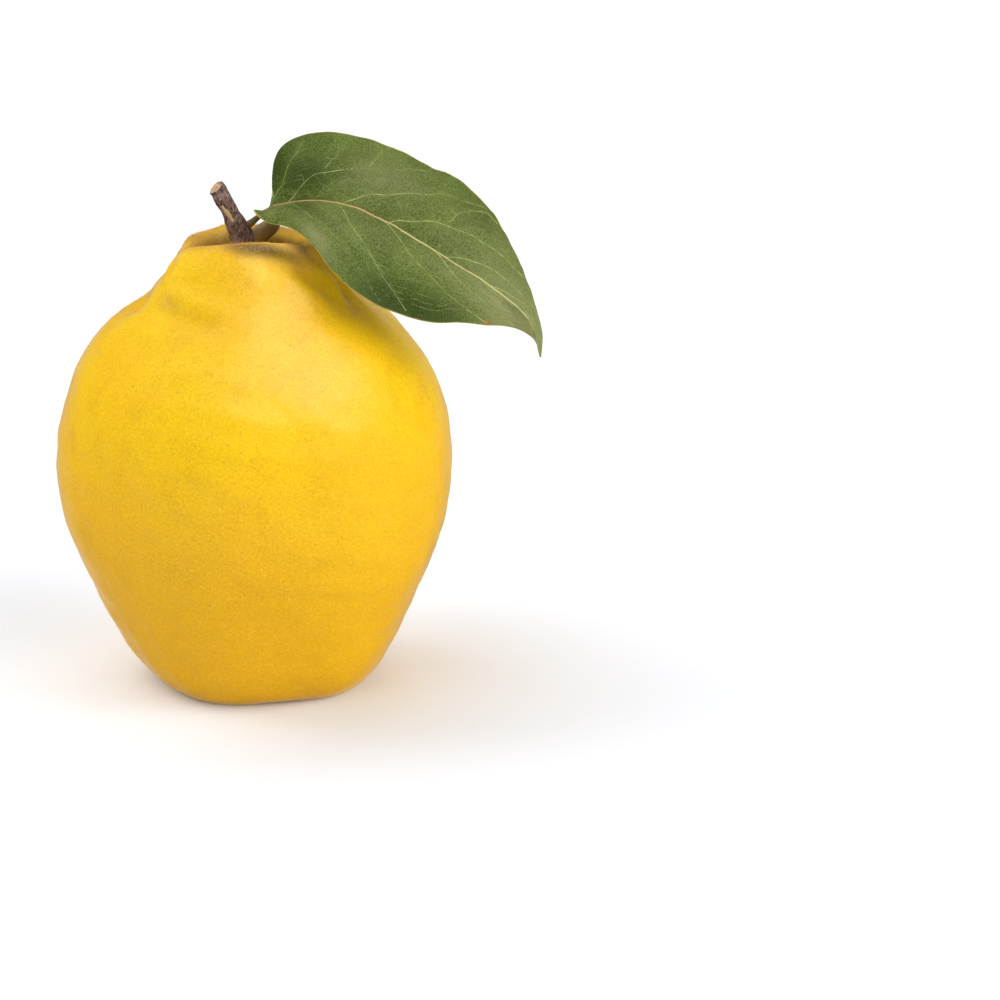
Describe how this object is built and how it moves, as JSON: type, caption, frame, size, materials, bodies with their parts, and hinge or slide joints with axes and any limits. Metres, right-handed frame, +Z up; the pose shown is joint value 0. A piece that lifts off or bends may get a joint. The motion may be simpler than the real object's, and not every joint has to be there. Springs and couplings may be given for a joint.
{
  "type": "quince",
  "caption": "Ripe ribbed quince as picked, standing on its calyx end, with a short woody stalk, a single broad leaf and a dry calyx in the basin underneath.",
  "frame": {"origin": "middle of the bounding box's floor, on the surface that the fruit stands on", "axes": "+Z up from the calyx end to the stalk, -Y the front of the fruit, +X the side that the leaf reaches over"},
  "size_m": [0.11, 0.0875, 0.1231],
  "materials": {
    "quince_skin": "ripe golden yellow skin, matt to satin, under a thin peach-coloured down",
    "twig_bark": "rough brown bark with pale scars and a tan cut end",
    "leaf_blade": "satin olive green with pale veins, pale and downy underneath",
    "dry_calyx": "dry papery brown sepals and stamens"
  },
  "bodies": {
    "root": {"fruit": "quince_skin", "stalk": "twig_bark", "leaf": "leaf_blade", "calyx": "dry_calyx"}
  },
  "joints": []
}
